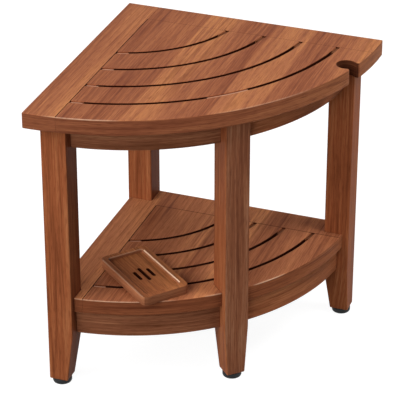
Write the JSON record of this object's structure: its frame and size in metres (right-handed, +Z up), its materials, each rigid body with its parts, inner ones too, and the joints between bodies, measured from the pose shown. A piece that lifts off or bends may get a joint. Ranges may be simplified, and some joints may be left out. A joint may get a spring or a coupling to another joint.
{
  "type": "corner shower bench",
  "caption": "Quarter-round slatted teak bench with a slatted lower shelf, curved aprons, tapered legs, a keyhole notch and a loose soap dish.",
  "frame": {"origin": "on the floor, under the middle of the square that the seat fits in; the wall corner is at -X +Y", "axes": "+Z up, -X is the left wall side, +Y is the right wall side, and the curved front faces +X -Y"},
  "size_m": [0.4, 0.4, 0.456],
  "materials": {
    "teak_seat": "satin oiled teak, lighter and darker staves",
    "teak_shelf": "satin oiled teak, lighter and darker staves",
    "teak_frame": "satin oiled teak with the grain along each piece",
    "teak_dish": "satin oiled teak",
    "teak_unoiled": "paler unoiled wood",
    "steel": "stainless steel",
    "brass": "turned brass",
    "black_rubber": "matte black moulded rubber"
  },
  "bodies": {
    "bench": {"seat_left_board": "teak_seat", "seat_right_board": "teak_seat", "seat_slat_1": "teak_seat", "seat_slat_2": "teak_seat", "seat_slat_3": "teak_seat", "seat_slat_4": "teak_seat", "seat_slat_5": "teak_seat", "shelf_left_board": "teak_shelf", "shelf_right_board": "teak_shelf", "shelf_slat_1": "teak_shelf", "shelf_slat_2": "teak_shelf", "shelf_slat_3": "teak_shelf", "shelf_slat_4": "teak_shelf", "shelf_slat_5": "teak_shelf", "upper_apron_left": "teak_frame", "upper_apron_right": "teak_frame", "upper_rail_left": "teak_frame", "upper_rail_right": "teak_frame", "lower_apron_left": "teak_frame", "lower_apron_right": "teak_frame", "lower_rail_left": "teak_frame", "lower_rail_right": "teak_frame", "back_leg": "teak_frame", "left_leg": "teak_frame", "right_leg": "teak_frame", "front_leg": "teak_frame", "seat_slot_ends": "teak_unoiled", "shelf_slot_ends": "teak_unoiled", "seat_left_cleat": "teak_unoiled", "seat_right_cleat": "teak_unoiled", "shelf_left_cleat": "teak_unoiled", "shelf_right_cleat": "teak_unoiled", "upper_dowels": "teak_unoiled", "lower_dowels": "teak_unoiled", "seat_cleat_screws": "steel", "upper_apron_screws": "steel", "shelf_cleat_screws": "steel", "lower_apron_screws": "steel", "foot_inserts": "brass"},
    "back_foot": {"back_foot_pad": "black_rubber", "back_foot_stud": "steel"},
    "left_foot": {"left_foot_pad": "black_rubber", "left_foot_stud": "steel"},
    "right_foot": {"right_foot_pad": "black_rubber", "right_foot_stud": "steel"},
    "front_foot": {"front_foot_pad": "black_rubber", "front_foot_stud": "steel"},
    "dish": {"soap_dish": "teak_dish"}
  },
  "joints": [
    {"name": "back_foot_adjust", "type": "slide", "parent": "bench", "child": "back_foot", "axis": [0, 0, 1], "range_m": [-0.01, 0]},
    {"name": "left_foot_adjust", "type": "slide", "parent": "bench", "child": "left_foot", "axis": [0, 0, 1], "range_m": [-0.01, 0]},
    {"name": "right_foot_adjust", "type": "slide", "parent": "bench", "child": "right_foot", "axis": [0, 0, 1], "range_m": [-0.01, 0]},
    {"name": "front_foot_adjust", "type": "slide", "parent": "bench", "child": "front_foot", "axis": [0, 0, 1], "range_m": [-0.01, 0]},
    {"name": "dish_lift", "type": "slide", "parent": "bench", "child": "dish", "axis": [0, 0, 1], "range_m": [0, 0.1]}
  ]
}
